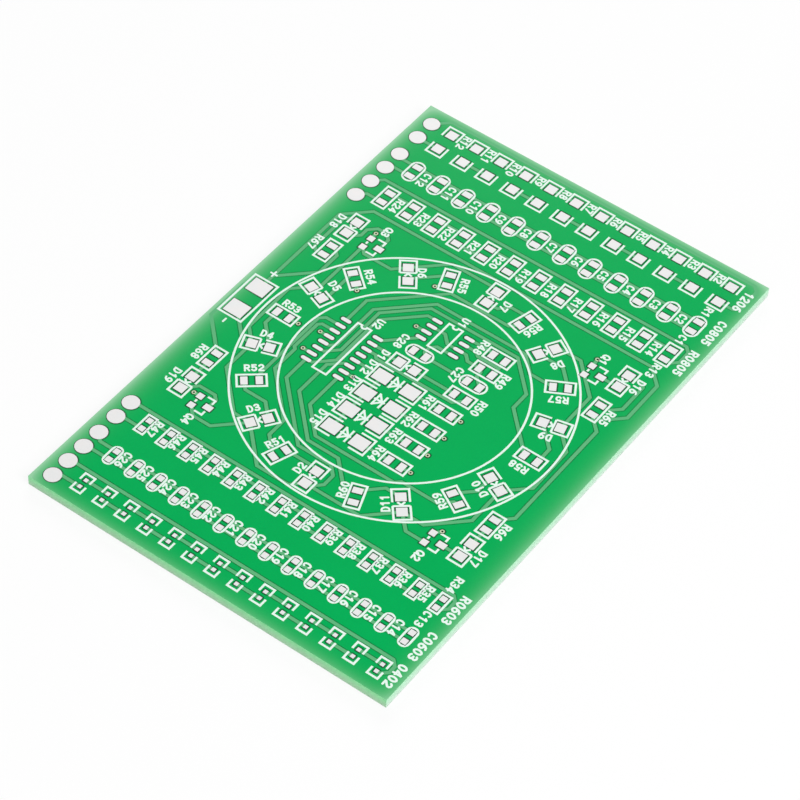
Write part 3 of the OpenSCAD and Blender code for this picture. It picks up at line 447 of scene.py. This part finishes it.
print_words("numbers_1206", row_numbers("print_1206", "R", 12, UPPER_COLUMNS, outline_w=2.8,
                                        aside=2.18, start=2.76, last=(-0.1, -3.53)))
print_words("numbers_c0805", row_numbers("print_c0805", "C", 12, UPPER_COLUMNS, outline_w=2.36,
                                         aside=2.11, start=0.76, last=(-0.15, -2.48)))
print_words("numbers_r0805", row_numbers("print_r0805", "R", 24, UPPER_COLUMNS, outline_w=2.36,
                                         aside=2.16, start=0.81, last=(0, -2.46)))
print_words("numbers_r0603", row_numbers("print_r0603", "R", 47, LOWER_COLUMNS, outline_w=1.76,
                                         aside=1.4, start=1.38, last=(-0.2, 4.74)))
print_words("numbers_c0603", row_numbers("print_c0603", "C", 26, LOWER_COLUMNS, outline_w=1.76,
                                         aside=1.56, start=1.49, last=(-0.2, 4.64)))

# The case sizes are printed a little larger, each with its middle at x, y in millimetres
CASE_LETTERS = 1.1
print_words("case_sizes", [(text, x, y, DOWN) for text, x, y in [
    ("1206", 27.25, 39.6), ("C0805", 27.25, 32.25), ("R0805", 27.2, 25.25),
    ("R0603", 27.35, -27.7), ("C0603", 27.35, -34.8), ("0402", 27.35, -40.55)]], CASE_LETTERS)

# Round the ring each number stands beside its part: its angle, its distance from the middle and its turn
ring_low, ring_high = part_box("ring_circles")
ring_middle = (ring_low + ring_high) / 2 / MM
LIGHTS = [(263.5, 20.05, 90), (229.7, 20.45, 55), (191.8, 20.25, 16), (154.6, 20.05, -20),
          (119.7, 20.7, -55), (83.6, 20.1, -90), (48.6, 20.85, -120), (12.3, 20.1, -166),
          (335.3, 19.9, 155), (299.1, 20.45, 130)]
RESISTORS = [(248.1, 19.85, 66), (209.6, 20.15, 40), (174.4, 20.45, 0), (139.9, 20.1, -40),
             (102.7, 20.0, -70), (67.6, 20.2, -105), (31.5, 20.4, -150), (353.8, 20.0, 180),
             (319.2, 20.1, 150), (282.6, 19.85, 110)]
FIRST_LIGHT, FIRST_RESISTOR = 2, 51
ring_words = []
for letter, first, places in (("D", FIRST_LIGHT, LIGHTS), ("R", FIRST_RESISTOR, RESISTORS)):
    for k, (angle, distance, turn) in enumerate(places):
        x = ring_middle.x + distance * math.cos(math.radians(angle))
        y = ring_middle.y + distance * math.sin(math.radians(angle))
        ring_words.append((f"{letter}{first + k}", x, y, turn))
print_words("numbers_ring", ring_words)

# In the corners and the middle each number has a place of its own, x and y in millimetres
print_words("numbers_corners", [(text, x, y, DOWN) for text, x, y in [
    ("D18", -25.15, 17.35), ("R67", -25.2, 12.25), ("Q3", -18.5, 19.8),
    ("D16", 24.5, 17.6), ("R65", 24.4, 10.55), ("Q1", 18.3, 19.0),
    ("R68", -24.9, -13.6), ("D19", -25.05, -19.05), ("Q4", -18.75, -23.85),
    ("R66", 24.7, -13.8), ("D17", 24.7, -19.25), ("Q2", 18.4, -23.55)]])

middle_words = [("U1", -0.3, 12.65), ("U2", -9.15, 5.3), ("C28", -4.95, 4.75), ("C27", 4.25, 4.4),
                ("D1", -5.35, 1.2), ("R48", 4.15, 10.45), ("R49", 9.9, 7.15), ("R50", 10.15, 1.35)]
# Four diodes, each in line with a resistor, are numbered from the top down
DIODE_YS = [-1.95, -5.67, -9.33, -13.1]
FIRST_DIODE, DIODE_X, DIODE_RISE = 12, -5.57, 0.22
FIRST_IN_LINE, IN_LINE_X, IN_LINE_RISE = 61, 4.15, -0.1
for k, y in enumerate(DIODE_YS):
    middle_words.append((f"R{FIRST_IN_LINE + k}", IN_LINE_X, y + IN_LINE_RISE))
    middle_words.append((f"D{FIRST_DIODE + k}", DIODE_X, y + DIODE_RISE))
print_words("numbers_middle", [(text, x, y, DOWN) for text, x, y in middle_words])

print_words("power_signs", [("+", -25.83, 3.8, DOWN), ("-", -25.85, -7.05, DOWN)])

for pattern in letters.values():
    bpy.data.objects.remove(pattern)


# The table is white paper under the board, wide enough to fill the view; it takes the board's shadow.
# Seen straight or in a shine it is white by itself, so that the background stays white in every view.
TABLE_SIZE = 3.0
TABLE_GAP = 0.05 * MM
WHITE_SHARE = 0.85
bpy.ops.object.select_all(action="DESELECT")
bpy.ops.mesh.primitive_plane_add(size=TABLE_SIZE, location=(0, 0, cad_low.z - TABLE_GAP))
table = bpy.context.object
table.name = "table"
white_paper, tree, surface = start_finish("white_paper")
surface.inputs["Base Color"].default_value = colour("#f8f8f8")
surface.inputs["Roughness"].default_value = 0.9
surface.inputs["Specular IOR Level"].default_value = 0.0
path = add(tree, "LightPath")
seen_or_shone = add(tree, "Math", {"operation": "MAXIMUM"},
                    links={0: path.outputs["Is Camera Ray"], 1: path.outputs["Is Glossy Ray"]})
seen_at_all = add(tree, "Math", {"operation": "MAXIMUM"},
                  links={0: seen_or_shone.outputs[0], 1: path.outputs["Is Transmission Ray"]})
share = add(tree, "Math", {"operation": "MULTIPLY"}, {1: WHITE_SHARE}, {0: seen_at_all.outputs[0]})
white = add(tree, "Emission", values={"Color": (1, 1, 1, 1), "Strength": 1.0})
paper = add(tree, "MixShader", links={0: share.outputs[0], 1: surface.outputs[0], 2: white.outputs[0]})
tree.links.new(paper.outputs[0], tree.nodes["Material Output"].inputs["Surface"])
table.data.materials.append(white_paper)


# Soft studio light: an even white room, a wide lamp from the right, a weak one in front for the near edge,
# one low behind on the left, which puts the pale shine on the far end of the mask, and a faint one above.
ROOM_LIGHT = 0.25
world = bpy.data.worlds.new("white_room")
world.use_nodes = True
bpy.context.scene.world = world
tree = world.node_tree
seen = add(tree, "LightPath").outputs["Is Camera Ray"]
level = add(tree, "MapRange", values={"To Min": ROOM_LIGHT, "To Max": 1.0}, links={"Value": seen})
tree.nodes["Background"].inputs["Color"].default_value = (1, 1, 1, 1)
tree.links.new(level.outputs[0], tree.nodes["Background"].inputs["Strength"])


def lamp(name, stands_at, size, power):
    """A square soft lamp that faces the middle of the board: place and size in metres, power in watts."""
    bpy.ops.object.light_add(type="AREA", location=stands_at)
    light = bpy.context.object
    light.name = name
    light.data.size = size
    light.data.energy = power
    light.rotation_mode = "QUATERNION"
    light.rotation_quaternion = (-Vector(stands_at)).to_track_quat("-Z", "Y")


lamp("right_lamp", (0.55, -0.1, 0.55), size=0.5, power=4.4)
lamp("back_lamp", (-0.415, 0.571, 0.376), size=0.4, power=3.0)
lamp("front_lamp", (0.1, -0.7, 0.35), size=0.4, power=1.2)
lamp("top_lamp", (0.0, -0.1, 0.8), size=0.6, power=0.25)


# The camera looks down on the board from its front right corner, from about 430 mm, with a slight lean.
# Its lens and place were fitted to the board's corners, the rows of lands and the two circles.
CAMERA_AT = Vector((158.2, -242.1, 326.7)) * MM
LOOKS_AT = Vector((1.1, -3.85, 1.6)) * MM
LEAN = 3.88
SENSOR = 36.0
LENS = 147.6
bpy.ops.object.camera_add(location=CAMERA_AT)
camera = bpy.context.object
camera.data.sensor_width = SENSOR
camera.data.lens = LENS
camera.data.clip_start = 0.01
camera.rotation_mode = "QUATERNION"
camera.rotation_quaternion = ((LOOKS_AT - CAMERA_AT).to_track_quat("-Z", "Y")
                              @ Quaternion((0, 0, 1), math.radians(LEAN)))
bpy.context.scene.camera = camera
bpy.context.scene.view_settings.view_transform = "Standard"
